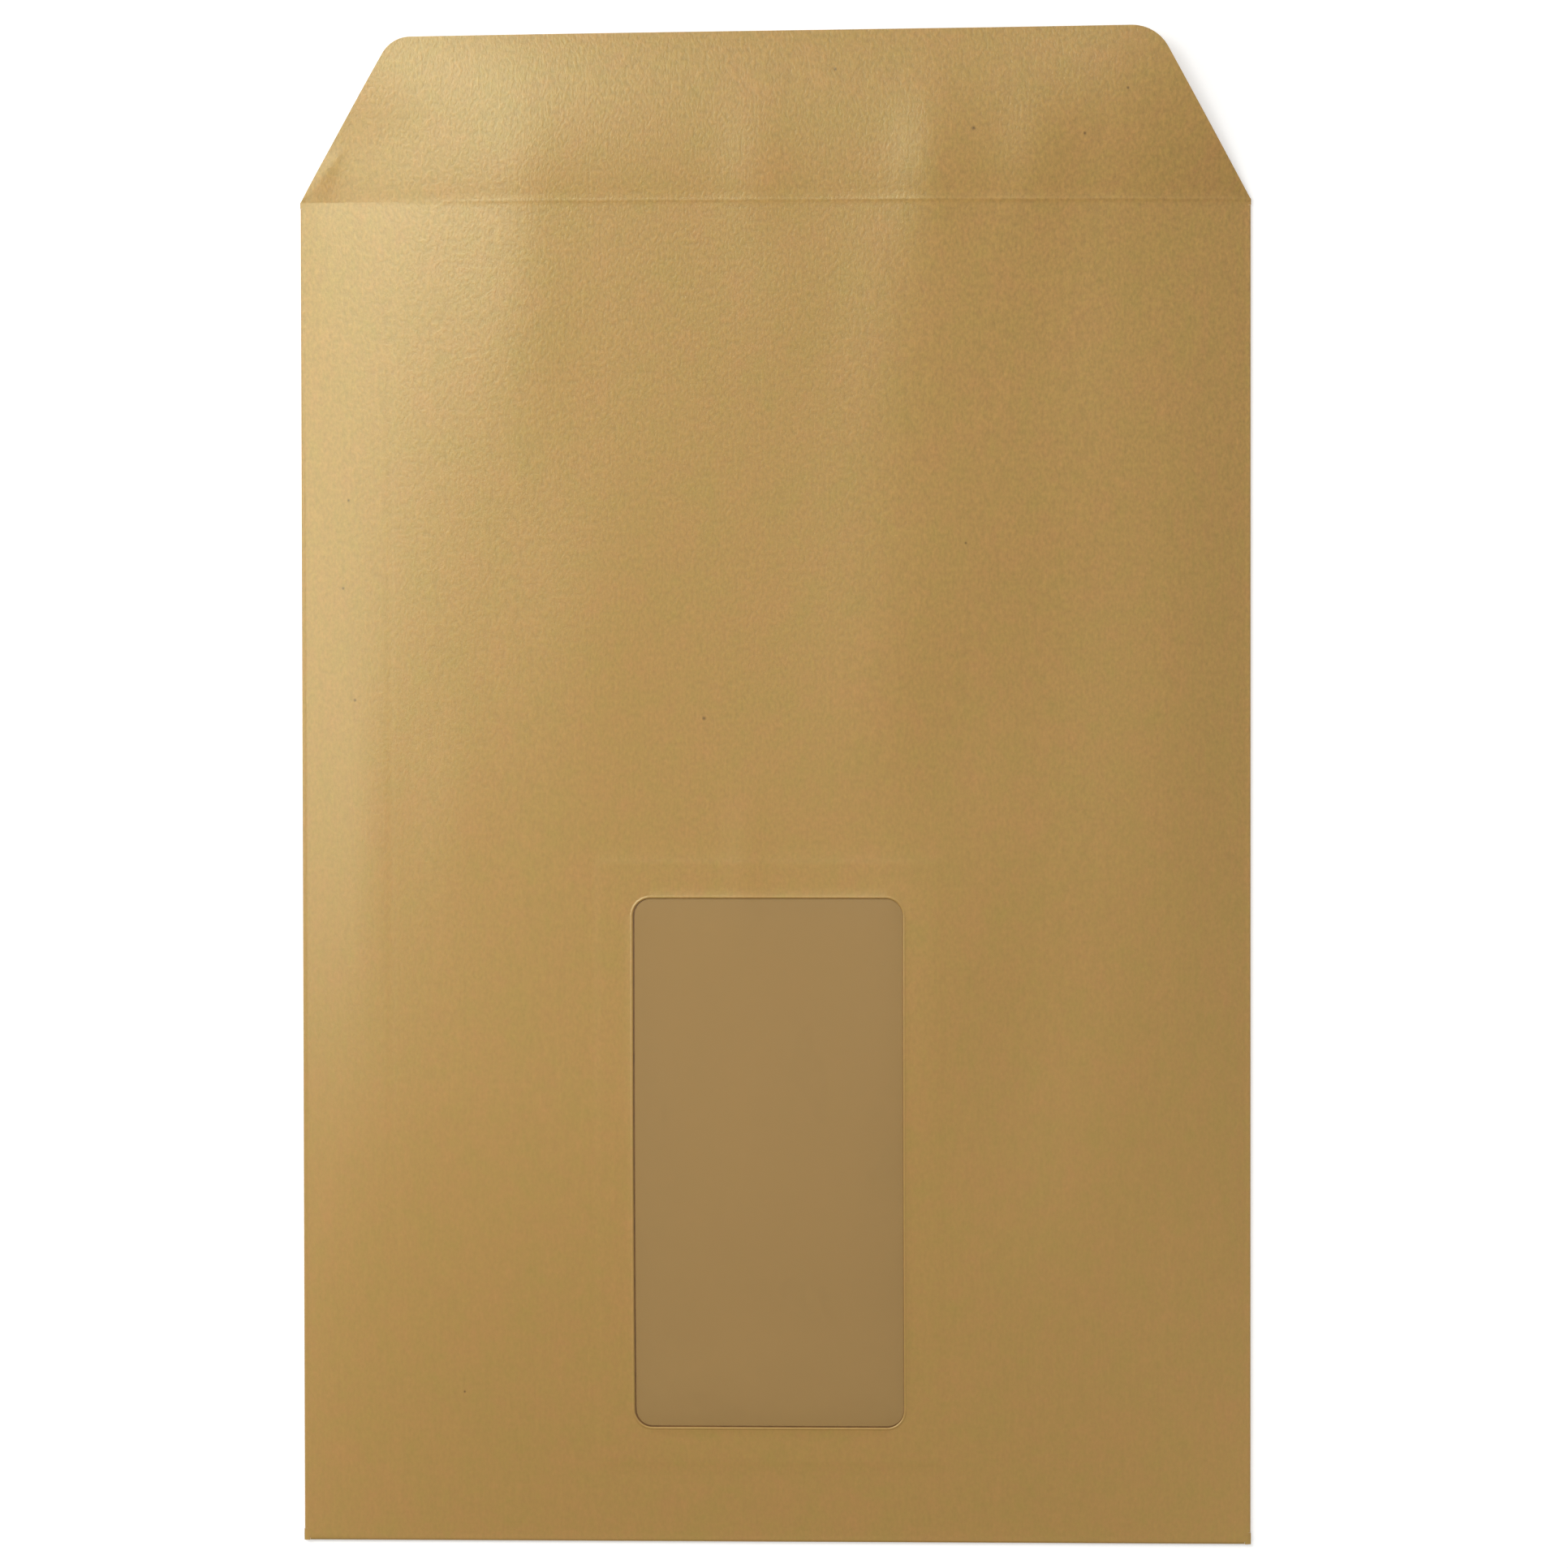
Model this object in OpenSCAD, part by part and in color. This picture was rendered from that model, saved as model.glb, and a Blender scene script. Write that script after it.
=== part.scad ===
// Window envelope: a pocket of brown kraft paper, folded from one blank, with its closing flap open.
// It lies on its back panel with the window up. The origin is at the middle of its footprint.
// +Z is up, +X is to the right of the window side, +Y runs from the bottom fold to the closing flap.
// All sizes are in millimetres.

/* [Pocket] */
// Width across the two side folds
body_w = 162; // [120:1:260]
// Height from the bottom fold to the crease of the closing flap
body_h = 229; // [190:1:360]
// Thickness of the paper
paper_t = 0.12; // [0.08:0.01:0.25]
// Inside radius of the side folds
fold_r = 0.25; // [0.15:0.05:0.5]
// How far the front bows up over the back in the middle of the mouth
bow_h = 5; // [4:0.1:9]
// How flat the bow is across the middle: 2 is a parabola, more is flatter with steeper sides
bow_power = 4; // [2:0.5:6]
// Length over which the bow runs out towards the bottom fold
bow_run = 78; // [40:1:110]

/* [Back panel] */
// How far each side edge of the back panel stays inside the side fold
back_inset = 1; // [0.8:0.1:3]
// How far the top edge of the back panel stays below the crease
back_drop = 2; // [1:0.5:20]
// Radius of the top corners of the back panel
back_corner_r = 3; // [1:0.5:8]

/* [Side flaps] */
// Width of each glued side flap, from the outside of its fold
side_flap_w = 15.5; // [10:0.5:20]
// How far the ends of a side flap are cut back at its inner edge
side_flap_slant = 6; // [2:0.5:12]
// Gap between the bottom fold and the start of the side folds
side_start = 2; // [1:0.5:6]
// Gap between the end of the side folds and the crease
side_stop = 1; // [0.5:0.5:6]

/* [Closing flap] */
// Height of the closing flap at its left corner
flap_left_h = 28; // [20:0.1:45]
// Height of the closing flap at its right corner
flap_right_h = 29.3; // [20:0.1:45]
// How far each tip corner stays inside the side fold below it, before it is rounded
flap_inset = 16; // [8:0.1:30]
// Radius of the left tip corner
flap_left_r = 5.5; // [2:0.5:12]
// Radius of the right tip corner
flap_right_r = 7; // [2:0.5:12]
// Height of the underside of the flap's tip over what the envelope lies on
flap_tip_z = 4.4; // [4.3:0.1:8]
// How far the flap arches up between the crease and the tip
flap_arch = 0.6; // [0:0.1:2]
// Height of the ridge that the crease leaves on the window side
crease_h = 0.08; // [0.04:0.01:0.2]
// Width of that ridge
crease_w = 1.8; // [1:0.2:4]

/* [Gum] */
// Width of the dry gum band on the underside of the closing flap
gum_w = 14; // [6:0.5:16]
// How far the gum band stays inside the edges of the flap
gum_margin = 3; // [1:0.5:5]
// Thickness of the gum film
gum_t = 0.03; // [0.03:0.01:0.06]

/* [Window] */
// Width of the window
window_w = 46; // [30:0.5:80]
// Height of the window
window_h = 90.5; // [40:0.5:110]
// Distance from the right side fold to the window
window_right = 59; // [20:0.1:75]
// Distance from the bottom fold to the window
window_bottom = 19.9; // [12:0.1:60]
// Radius of the window's corners
window_r = 3; // [1:0.5:8]

/* [Window film] */
// How far the film reaches past the window on each side
film_border = 6; // [4:0.5:10]
// Thickness of the film
film_t = 0.04; // [0.03:0.01:0.08]
// Radius of the film's corners
film_r = 1; // [0.5:0.5:4]
// Thickness of the glue between the paper and what is stuck to it
glue_t = 0.02; // [0.01:0.01:0.04]

/* [Hidden] */
$fn = 64;

// What the cutting shapes reach past what they cut
past = 3;
// How far the panels lie level beside a fold, and how far the section of the fold reaches into them
level_w = 0.4;
leg_w = level_w / 2;
// Width of the cut between each corner of the front panel and the ends of the folds beside it
corner_cut = 0.1;
// Columns of the bowed sheet on each side of its middle, and rows of its bottom run and its flap
half_cols = 14;
run_rows = 12;
flap_rows = 4;

// Edge of the front panel, where the side fold begins, and edge of its bow
panel_x = body_w / 2 - fold_r - paper_t;
bow_x = panel_x - level_w;
// Underside of the front panel at its edges: back panel, side flap and the inside of the fold lie below it
edge_z = 2 * paper_t + 2 * fold_r;
bottom_r = (edge_z + paper_t) / 2;

// The tip edge, from the left corner to the right one, seen from the middle of the crease
base_left = [-body_w / 2, 0];
base_right = [body_w / 2, 0];
tip_left = [flap_inset - body_w / 2, flap_left_h];
tip_right = [body_w / 2 - flap_inset, flap_right_h];
flap_points = [base_left, base_right, tip_right, tip_left];
flap_radii = [0, 0, flap_right_r, flap_left_r];

function unit(v) = v / norm(v);
function half_angle(a, p, b) = acos(unit(a - p) * unit(b - p)) / 2;
function round_centre(a, p, b, r) = p + unit(unit(a - p) + unit(b - p)) * r / sin(half_angle(a, p, b));
function round_end(a, p, b, r) = p + unit(a - p) * r / tan(half_angle(a, p, b));
function before(i, points) = points[(i + len(points) - 1) % len(points)];
function after(i, points) = points[(i + 1) % len(points)];

// The height of the closing flap is the top of the higher one of its rounded tip corners
right_top = round_centre(base_right, tip_right, tip_left, flap_right_r)[1] + flap_right_r;
left_top = round_centre(tip_right, tip_left, base_left, flap_left_r)[1] + flap_left_r;
flap_h = max(right_top, left_top);

// Bottom fold, crease, and the edges of the panels and side flaps between them
back_x = body_w / 2 - back_inset;
bottom_y = -(body_h + flap_h) / 2;
crease_y = bottom_y + body_h;
panel_y = bottom_y + bottom_r;
bow_y = panel_y + level_w;
mouth_y = crease_y - back_drop;
side_low_y = bottom_y + side_start;
side_high_y = crease_y - side_stop;
// Middle of the window
window_x = body_w / 2 - window_right - window_w / 2;
window_y = bottom_y + window_bottom + window_h / 2;

// Height of the underside of the front panel and of the closing flap over the back's outside
function across(x) = 1 - pow(min(1, abs(x) / bow_x), bow_power);
function along(y) = sin(90 * max(0, min(1, (y - bow_y) / bow_run)));
function panel_z(x, y) = edge_z + bow_h * across(x) * along(y);
function flap_z(x, s) = (1 - s) * panel_z(x, crease_y) + s * flap_tip_z + 4 * flap_arch * s * (1 - s);
function ridge(y) = crease_h * max(0, 1 - abs(y - crease_y) / (crease_w / 2));
function sheet_z(x, y) = y <= crease_y ? panel_z(x, y) : flap_z(x, (y - crease_y) / flap_h);
function under_z(x, y) = sheet_z(x, y) + ridge(y);

// Places of the columns and rows of the bowed sheet, which runs level out to the outside of the folds
bow_cols_x = [for (i = [-half_cols:half_cols]) bow_x * sin(90 * i / half_cols)];
sheet_x = concat(-body_w / 2, -panel_x, bow_cols_x, panel_x, body_w / 2);
run_y = [for (j = [0:run_rows]) bow_y + bow_run * j / run_rows];
crease_rows_y = [for (side = [-1:1]) crease_y + side * crease_w / 2];
flap_y = [for (k = [1:flap_rows]) crease_y + (flap_h + past) * k / flap_rows];
sheet_y = concat(bottom_y, panel_y, run_y, crease_rows_y, flap_y);

// A polygon with its corners rounded by the radii
module rounded(points, radii) {
    count = len(points);
    polygon([
        for (i = [0:count - 1])
            let (a = before(i, points), p = points[i], b = after(i, points), r = radii[i])
                each r > 0 ? [round_end(a, p, b, r), round_end(b, p, a, r)] : [p]
    ]);
    for (i = [0:count - 1])
        if (radii[i] > 0)
            translate(round_centre(before(i, points), points[i], after(i, points), radii[i]))
                circle(r = radii[i]);
}

// A rectangle around a centre, with four corners of one radius
module rounded_rectangle(w, h, r) {
    rounded([[-w / 2, -h / 2], [w / 2, -h / 2], [w / 2, h / 2], [-w / 2, h / 2]], [r, r, r, r]);
}

// The whole bowed sheet between two heights, both counted from the underside of the paper
module bowed_sheet(low, high) {
    cols = len(sheet_x);
    rows = len(sheet_y);
    layer = cols * rows;
    points = [
        for (lift = [low, high], y = sheet_y, x = sheet_x)
            [x, y, under_z(x, y) + lift]
    ];
    low_faces = [
        for (j = [0:rows - 2], i = [0:cols - 2])
            let (a = j * cols + i, b = a + 1, c = a + cols + 1, d = a + cols)
                each [[a, b, c], [a, c, d]]
    ];
    high_faces = [for (f = low_faces) [f[2] + layer, f[1] + layer, f[0] + layer]];
    rim = concat(
        [for (i = [0:cols - 1]) i],
        [for (j = [1:rows - 1]) j * cols + cols - 1],
        [for (i = [cols - 2:-1:0]) (rows - 1) * cols + i],
        [for (j = [rows - 2:-1:1]) j * cols]
    );
    rim_faces = [
        for (k = [0:len(rim) - 1])
            let (a = rim[k], b = rim[(k + 1) % len(rim)])
                each [[a, a + layer, b + layer], [a, b + layer, b]]
    ];
    polyhedron(points, concat(low_faces, high_faces, rim_faces));
}

// A prism over an outline, tall enough to pass through the whole sheet
module through() {
    translate([0, 0, -past])
        linear_extrude(bow_h + flap_tip_z + 2 * past)
            children();
}

module flap_outline() {
    translate([0, crease_y])
        rounded(flap_points, flap_radii);
}

// What is cut away beside and beyond the closing flap
module flap_trim() {
    difference() {
        translate([-body_w / 2 - past, crease_y])
            square([body_w + 2 * past, flap_h + 2 * past]);
        flap_outline();
    }
}

module window_outline(border, r) {
    translate([window_x, window_y])
        rounded_rectangle(window_w + 2 * border, window_h + 2 * border, r);
}

// What is cut away at the edges of the front panel where a fold takes its place: all but its corners
module fold_trim() {
    for (side = [0, 1])
        mirror([side, 0])
            translate([panel_x, side_low_y - corner_cut])
                square([body_w, side_high_y - side_low_y + 2 * corner_cut]);
    translate([-back_x - corner_cut, panel_y - past])
        square([2 * (back_x + corner_cut), past]);
}

// Front panel and closing flap: one bowed sheet with the window cut out
module front() {
    difference() {
        bowed_sheet(0, paper_t);
        through()
            flap_trim();
        through()
            fold_trim();
        through()
            window_outline(0, window_r);
    }
}

// Section of a fold: half a ring on the +X side, with a short leg in each of the panels that it joins
module fold_section(inside_r) {
    outside_r = inside_r + paper_t;
    difference() {
        circle(r = outside_r);
        circle(r = inside_r);
        translate([-outside_r - past, -outside_r - past])
            square([outside_r + past, 2 * (outside_r + past)]);
    }
    for (z = [-outside_r, inside_r])
        translate([-leg_w, z])
            square([leg_w, paper_t]);
}

// The right side fold and the side flap that it turns under the front panel
module side_flap() {
    translate([panel_x, side_high_y, edge_z - fold_r])
        rotate([90, 0, 0])
            linear_extrude(side_high_y - side_low_y)
                fold_section(fold_r);
    inner_x = body_w / 2 - side_flap_w;
    translate([0, 0, paper_t])
        linear_extrude(paper_t)
            polygon([
                [panel_x, side_low_y],
                [panel_x, side_high_y],
                [inner_x, side_high_y - side_flap_slant],
                [inner_x, side_low_y + side_flap_slant]
            ]);
}

// The bottom fold and the back panel that it turns under the side flaps
module back() {
    translate([-back_x, panel_y, bottom_r])
        rotate([90, 0, 90])
            linear_extrude(2 * back_x)
                mirror([1, 0])
                    fold_section(bottom_r - paper_t);
    linear_extrude(paper_t)
        rounded(
            [[-back_x, panel_y], [back_x, panel_y], [back_x, mouth_y], [-back_x, mouth_y]],
            [0, 0, back_corner_r, back_corner_r]
        );
}

module envelope() {
    color("#b48f58") {
        front();
        side_flap();
        mirror([1, 0, 0])
            side_flap();
        back();
    }
}

module window_film() {
    color("#dfe6e4", 0.35)
        intersection() {
            bowed_sheet(-glue_t - film_t, -glue_t);
            through()
                window_outline(film_border, film_r);
        }
}

// The gum band follows the tip edge, inside the flap's rounded corners
module flap_gum() {
    high_left = tip_left + [0, -gum_margin];
    high_right = tip_right + [0, -gum_margin];
    inset = gum_margin + max(flap_left_r, flap_right_r) / 2;
    color("#c9a468")
        intersection() {
            bowed_sheet(-glue_t - gum_t, -glue_t);
            through()
                translate([0, crease_y])
                    polygon([
                        high_left + [inset, -gum_w],
                        high_right + [-inset, -gum_w],
                        high_right + [-inset, 0],
                        high_left + [inset, 0]
                    ]);
        }
}

envelope();
window_film();
flap_gum();
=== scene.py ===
"""A kraft paper window envelope that lies on a white table, window up, with its closing flap open.

The CAD solids are the frame. The envelope is laid again here as one thin folded sheet, with the
cockles, the crease and the worn rims of real paper. Lengths are millimetres, and angles degrees.
"""

import math

import bpy
import numpy as np
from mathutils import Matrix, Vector


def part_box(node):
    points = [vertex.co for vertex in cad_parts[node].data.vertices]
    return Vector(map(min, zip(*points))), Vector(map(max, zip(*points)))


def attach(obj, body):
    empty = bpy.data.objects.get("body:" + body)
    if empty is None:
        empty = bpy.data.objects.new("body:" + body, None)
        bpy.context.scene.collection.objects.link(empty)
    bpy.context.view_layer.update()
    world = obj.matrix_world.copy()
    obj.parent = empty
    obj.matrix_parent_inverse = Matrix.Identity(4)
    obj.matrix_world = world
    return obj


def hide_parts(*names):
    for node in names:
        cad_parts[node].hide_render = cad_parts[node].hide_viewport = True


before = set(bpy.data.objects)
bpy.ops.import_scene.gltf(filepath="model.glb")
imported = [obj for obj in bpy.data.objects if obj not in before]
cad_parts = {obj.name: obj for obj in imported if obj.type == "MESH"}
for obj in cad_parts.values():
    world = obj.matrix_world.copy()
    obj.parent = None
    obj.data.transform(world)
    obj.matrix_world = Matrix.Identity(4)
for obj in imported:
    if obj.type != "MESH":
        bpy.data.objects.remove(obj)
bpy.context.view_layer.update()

MM = 0.001
# Points nearer than TOUCH are one point; TINY keeps a division from zero
TOUCH = 0.01
TINY = 1e-9
# Edges that bend more than this are shaded sharp
SHARP_ANGLE = 35.0

# Sheet and folds
PAPER_T = 0.12
SIDE_FOLD_R = 0.25
LEVEL_W = 0.4
BACK_INSET = 1.0
BACK_DROP = 2.0
BACK_CORNER_R = 3.0
SIDE_FLAP_W = 15.5
SIDE_FLAP_SLANT = 6.0
SIDE_START = 2.0
SIDE_STOP = 1.0
CORNER_CUT = 0.03
FOLD_STEPS = 8
SIDE_FLAP_STEPS = 5

# Bow of the front over the pocket
BODY_H = 229.0
BOW_H = 5.0
BOW_POWER = 4
BOW_RUN = 78.0

# Closing flap and its crease
FLAP_LEFT_H = 28.0
FLAP_RIGHT_H = 29.3
FLAP_INSET = 16.0
FLAP_LEFT_R = 5.5
FLAP_RIGHT_R = 7.0
FLAP_TIP_Z = 4.4
FLAP_ARCH = 0.6
CREASE_W = 0.9
# How high the crease stands at places across, from where it has worn away to where it is sharp
CREASE_PLACES = (-75, -50, 10, 40)
CREASE_HEIGHTS = (0.0, 0.03, 0.045, 0.09)
# How much the sheet turns down past the side folds, per square of the distance
EDGE_TURN = 1.5

# Window, its film and the gum band
WINDOW_W = 46.0
WINDOW_H = 90.5
WINDOW_RIGHT = 59.0
WINDOW_BOTTOM = 19.9
WINDOW_R = 3.0
FILM_BORDER = 6.0
FILM_R = 1.0
FILM_T = 0.04
GLUE_T = 0.02
GUM_W = 14.0
GUM_MARGIN = 3.0
GUM_T = 0.03

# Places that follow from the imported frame
frame_low, frame_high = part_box("envelope")
HALF_W = frame_high.x / MM
BOTTOM_Y = frame_low.y / MM
FLAP_H = frame_high.y / MM - BOTTOM_Y - BODY_H
CREASE_Y = BOTTOM_Y + BODY_H
PANEL_X = HALF_W - SIDE_FOLD_R - PAPER_T
BOW_X = PANEL_X - LEVEL_W
EDGE_Z = 2 * PAPER_T + 2 * SIDE_FOLD_R
BOTTOM_R = (EDGE_Z + PAPER_T) / 2
PANEL_Y = BOTTOM_Y + BOTTOM_R
BOW_Y = PANEL_Y + LEVEL_W
BACK_X = HALF_W - BACK_INSET
MOUTH_Y = CREASE_Y - BACK_DROP
SIDE_LOW_Y = BOTTOM_Y + SIDE_START
SIDE_HIGH_Y = CREASE_Y - SIDE_STOP
SIDE_INNER_X = HALF_W - SIDE_FLAP_W
WINDOW_X1 = HALF_W - WINDOW_RIGHT
WINDOW_X0 = WINDOW_X1 - WINDOW_W
WINDOW_Y0 = BOTTOM_Y + WINDOW_BOTTOM
WINDOW_Y1 = WINDOW_Y0 + WINDOW_H
FILM_X0, FILM_X1 = WINDOW_X0 - FILM_BORDER, WINDOW_X1 + FILM_BORDER
FILM_Y0, FILM_Y1 = WINDOW_Y0 - FILM_BORDER, WINDOW_Y1 + FILM_BORDER


def clamp01(value):
    return np.clip(value, 0.0, 1.0)


def smooth_step(low, high, value):
    share = clamp01((value - low) / (high - low))
    return share * share * (3 - 2 * share)


def hump(x, y, centre_x, centre_y, half_x, half_y):
    """A soft hill of height 1 around a centre."""
    return np.exp(-(((x - centre_x) / half_x) ** 2) - ((y - centre_y) / half_y) ** 2)


# Soft ridges and hollows of the sheet: middle across and up, half width, half height, rise
SOFT_RELIEF = (
    (-34, 117, 20, 22, 0.2),
    (60, 118, 16, 18, 0.4),
    (-82, 126, 28, 30, -0.9),
    (-68, 110, 16, 8, -0.25),
    (70, 128, 20, 20, 0.6),
    (-10, 128, 24, 14, 0.2),
    (-43, 80, 9, 22, 0.3),
    (2, 85, 9, 18, 0.2),
    (22, 78, 11, 26, 0.6),
    (49, 82, 10, 24, -0.7),
    (66, 85, 9, 20, -0.2),
    (-32, 25, 12, 28, 0.3),
    (20, 20, 12, 38, 0.6),
    (31, 10, 8, 17, -0.4),
    (48, 18, 12, 34, -1.0),
    (68, 15, 7, 55, 0.3),
    (-70, -8, 5, 30, 0.2),
    (24, -38, 9, 24, 0.8),
    (44, -48, 10, 26, -1.0),
    (-55, -70, 14, 30, -0.2),
    (60, -70, 14, 30, -0.5),
)
# Short cockles that the crease pulls into the paper, and two above the window
COCKLES = (
    (-42, 104, 6, 12, 0.1),
    (-3, 105, 5, 10, 0.2),
    (27, 105, 6, 12, 0.5),
    (45, 105, 5, 11, 0.2),
    (44, 106, 4, 8, 0.12),
    (54, 106, 5, 8, -0.2),
    (-5, -12, 2.5, 9, 0.2),
    (-54, -4, 5, 14, 0.1),
)
# What the plies below have pressed into the front while it was packed flat
PATCH_RISE = 0.05
PATCH_SOFT_X = 1.2
PATCH_SOFT_Y = 1.0
PATCH_GROOVE = 0.03
PATCH_GROOVE_AT = 0.4
PATCH_GROOVE_W = 0.6
SEAM_GROOVE = 0.02
SEAM_GROOVE_W = 0.5
SEAM_SOFT = 2.0
# How far from a side fold, the crease and the bottom fold the paper is held flat
HELD_AT_SIDE = 8.0
HELD_AT_CREASE = 10.0
HELD_AT_FOOT = 12.0


def within(low, high, soft, value):
    """1 between low and high, falling to 0 over the soft distance outside them."""
    return smooth_step(low - soft, low, value) * (1 - smooth_step(high, high + soft, value))


def pressed_edges(x, y):
    """The film's outline and the inner edges of the side flaps, as they show through the front."""
    patch_rows = within(FILM_Y0, FILM_Y1, PATCH_SOFT_Y, y)
    patch = PATCH_RISE * within(FILM_X0, FILM_X1, PATCH_SOFT_X, x) * patch_rows
    beside = (x - FILM_X0 + PATCH_GROOVE_AT) / PATCH_GROOVE_W
    groove = PATCH_GROOVE * np.exp(-(beside**2)) * patch_rows
    seam_low, seam_high = SIDE_LOW_Y + SIDE_FLAP_SLANT, SIDE_HIGH_Y - SIDE_FLAP_SLANT
    from_seam = (np.abs(x) - SIDE_INNER_X) / SEAM_GROOVE_W
    seam = SEAM_GROOVE * np.exp(-(from_seam**2)) * within(seam_low, seam_high, SEAM_SOFT, y)
    return patch - groove - seam


def front_relief(x, y):
    """What the paper rises or sinks against the plain bowed sheet: nothing at the folds."""
    off_side = smooth_step(0, HELD_AT_SIDE, PANEL_X - np.abs(x))
    on_flap = smooth_step(0, HELD_AT_CREASE, y - CREASE_Y)
    free = np.maximum(off_side, on_flap) * smooth_step(0, HELD_AT_FOOT, y - PANEL_Y)
    height = sum(rise * hump(x, y, *place) for *place, rise in SOFT_RELIEF + COCKLES)
    return free * height + pressed_edges(x, y)


def front_z(x, y):
    """Height of the underside of the front panel and of the closing flap over the table."""
    across = 1 - np.minimum(1, np.abs(x) / BOW_X) ** BOW_POWER
    along = np.sin(np.pi / 2 * clamp01((np.minimum(y, CREASE_Y) - BOW_Y) / BOW_RUN))
    panel = EDGE_Z + BOW_H * across * along
    share = np.maximum(0, (y - CREASE_Y) / FLAP_H)
    flap = (1 - share) * panel + share * FLAP_TIP_Z + 4 * FLAP_ARCH * share * (1 - share)
    crease = np.interp(x, CREASE_PLACES, CREASE_HEIGHTS)
    ridge = crease * np.maximum(0, 1 - np.abs(y - CREASE_Y) / (CREASE_W / 2))
    turned = EDGE_TURN * np.maximum(0, np.abs(x) - PANEL_X) ** 2
    return np.where(y > CREASE_Y, flap, panel) + ridge - turned + front_relief(x, y)


def spaced(*stops):
    """Places from stop to stop, each stop given as its place and the step that follows it."""
    places = []
    for (start, step), (end, _) in zip(stops, stops[1:]):
        count = max(1, round((end - start) / step))
        places += [start + (end - start) * k / count for k in range(count)]
    return np.array(places + [stops[-1][0]])


def deselect_all():
    if bpy.context.object and bpy.context.object.mode != "OBJECT":
        bpy.ops.object.mode_set(mode="OBJECT")
    bpy.ops.object.select_all(action="DESELECT")


def make_active(*objects):
    deselect_all()
    for piece in objects:
        piece.select_set(True)
    bpy.context.view_layer.objects.active = objects[0]


def points_of(piece):
    found = np.empty(len(piece.data.vertices) * 3)
    piece.data.vertices.foreach_get("co", found)
    return found.reshape(-1, 3)


def set_points(piece, points):
    piece.data.vertices.foreach_set("co", points.ravel())
    piece.data.update()


def laid_grid(name, columns, rows, place):
    """A flat grid with its lines at the columns and rows, laid in space by place(column, row)."""
    deselect_all()
    bpy.ops.mesh.primitive_grid_add(
        x_subdivisions=len(columns) - 1, y_subdivisions=len(rows) - 1, size=2
    )
    piece = bpy.context.object
    piece.name = name
    piece.data.name = name
    flat = points_of(piece)
    column = columns[np.rint((flat[:, 0] + 1) / 2 * (len(columns) - 1)).astype(int)]
    row = rows[np.rint((flat[:, 1] + 1) / 2 * (len(rows) - 1)).astype(int)]
    set_points(piece, np.stack(place(column, row), 1) * MM)
    return piece


def ring_and_turn(a, b):
    """Of a point in a square at a corner: the ring it lies on, and how far along that, 0 to 1."""
    ring = np.maximum(np.maximum(a, b), TINY)
    return ring, np.where(a >= b, b / ring / 2, 1 - a / ring / 2)


def hollow_corner(x, y, corner_x, corner_y, side_x, side_y, r):
    """Moves the points of a square at a window's corner out past the arc that rounds the corner."""
    a, b = (x - corner_x) * side_x, (y - corner_y) * side_y
    inside = (a >= -TINY) & (b >= -TINY) & (a <= r + TINY) & (b <= r + TINY)
    ring, turn = ring_and_turn(a, b)
    angle = -np.pi / 2 * (1 + turn)
    new_a = ring * (1 + np.cos(angle))
    new_b = ring * (1 + np.sin(angle))
    return (
        np.where(inside, corner_x + side_x * new_a, x),
        np.where(inside, corner_y + side_y * new_b, y),
    )


def full_corner(x, y, corner_x, corner_y, side_x, side_y, r):
    """Draws the points of a square at a sheet's corner in to the arc that rounds the corner."""
    a, b = r - (corner_x - x) * side_x, r - (corner_y - y) * side_y
    inside = (a >= 0) & (b >= 0)
    ring, turn = ring_and_turn(a, b)
    angle = turn * np.pi / 2
    new_a, new_b = ring * np.cos(angle), ring * np.sin(angle)
    return (
        np.where(inside, corner_x + side_x * (new_a - r), x),
        np.where(inside, corner_y + side_y * (new_b - r), y),
    )


def flap_point(share_x, share_y):
    """A point of the flap before its corners are rounded, at -1 to 1 across and 0 to 1 up."""
    right = (share_x + 1) / 2
    tip_x = share_x * (HALF_W - FLAP_INSET)
    tip_y = FLAP_LEFT_H + (FLAP_RIGHT_H - FLAP_LEFT_H) * right
    return np.array([(1 - share_y) * share_x * HALF_W + share_y * tip_x, share_y * tip_y])


def rounded_flap(share_x, share_y, side, r):
    """Draws the points near one tip corner of the flap in to the arc that rounds it."""
    corner = flap_point(side, 1.0)
    down, across = flap_point(side, 0.0) - corner, flap_point(-side, 1.0) - corner
    down_len, across_len = np.linalg.norm(down), np.linalg.norm(across)
    half = math.acos(down @ across / down_len / across_len) / 2
    reach = r / math.tan(half)
    from_x, from_y = 1 - 2 * reach / across_len, 1 - reach / down_len
    on_side, on_tip = corner + down / down_len * reach, corner + across / across_len * reach
    middle = down / down_len + across / across_len
    centre = corner + middle / np.linalg.norm(middle) * r / math.sin(half)
    inner = flap_point(side * from_x, from_y)

    a, b = (share_x * side - from_x) / (1 - from_x), (share_y - from_y) / (1 - from_y)
    inside = (a >= 0) & (b >= 0)
    ring, turn = ring_and_turn(a, b)
    first = math.atan2(*(on_side - centre)[::-1])
    last = math.atan2(*(on_tip - centre)[::-1])
    swing = (last - first + math.pi) % (2 * math.pi) - math.pi
    angle = first + swing * turn
    arc = centre[:, None] + r * np.array([np.cos(angle), np.sin(angle)])
    return inside, inner[:, None] + ring * (arc - inner[:, None])


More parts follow.
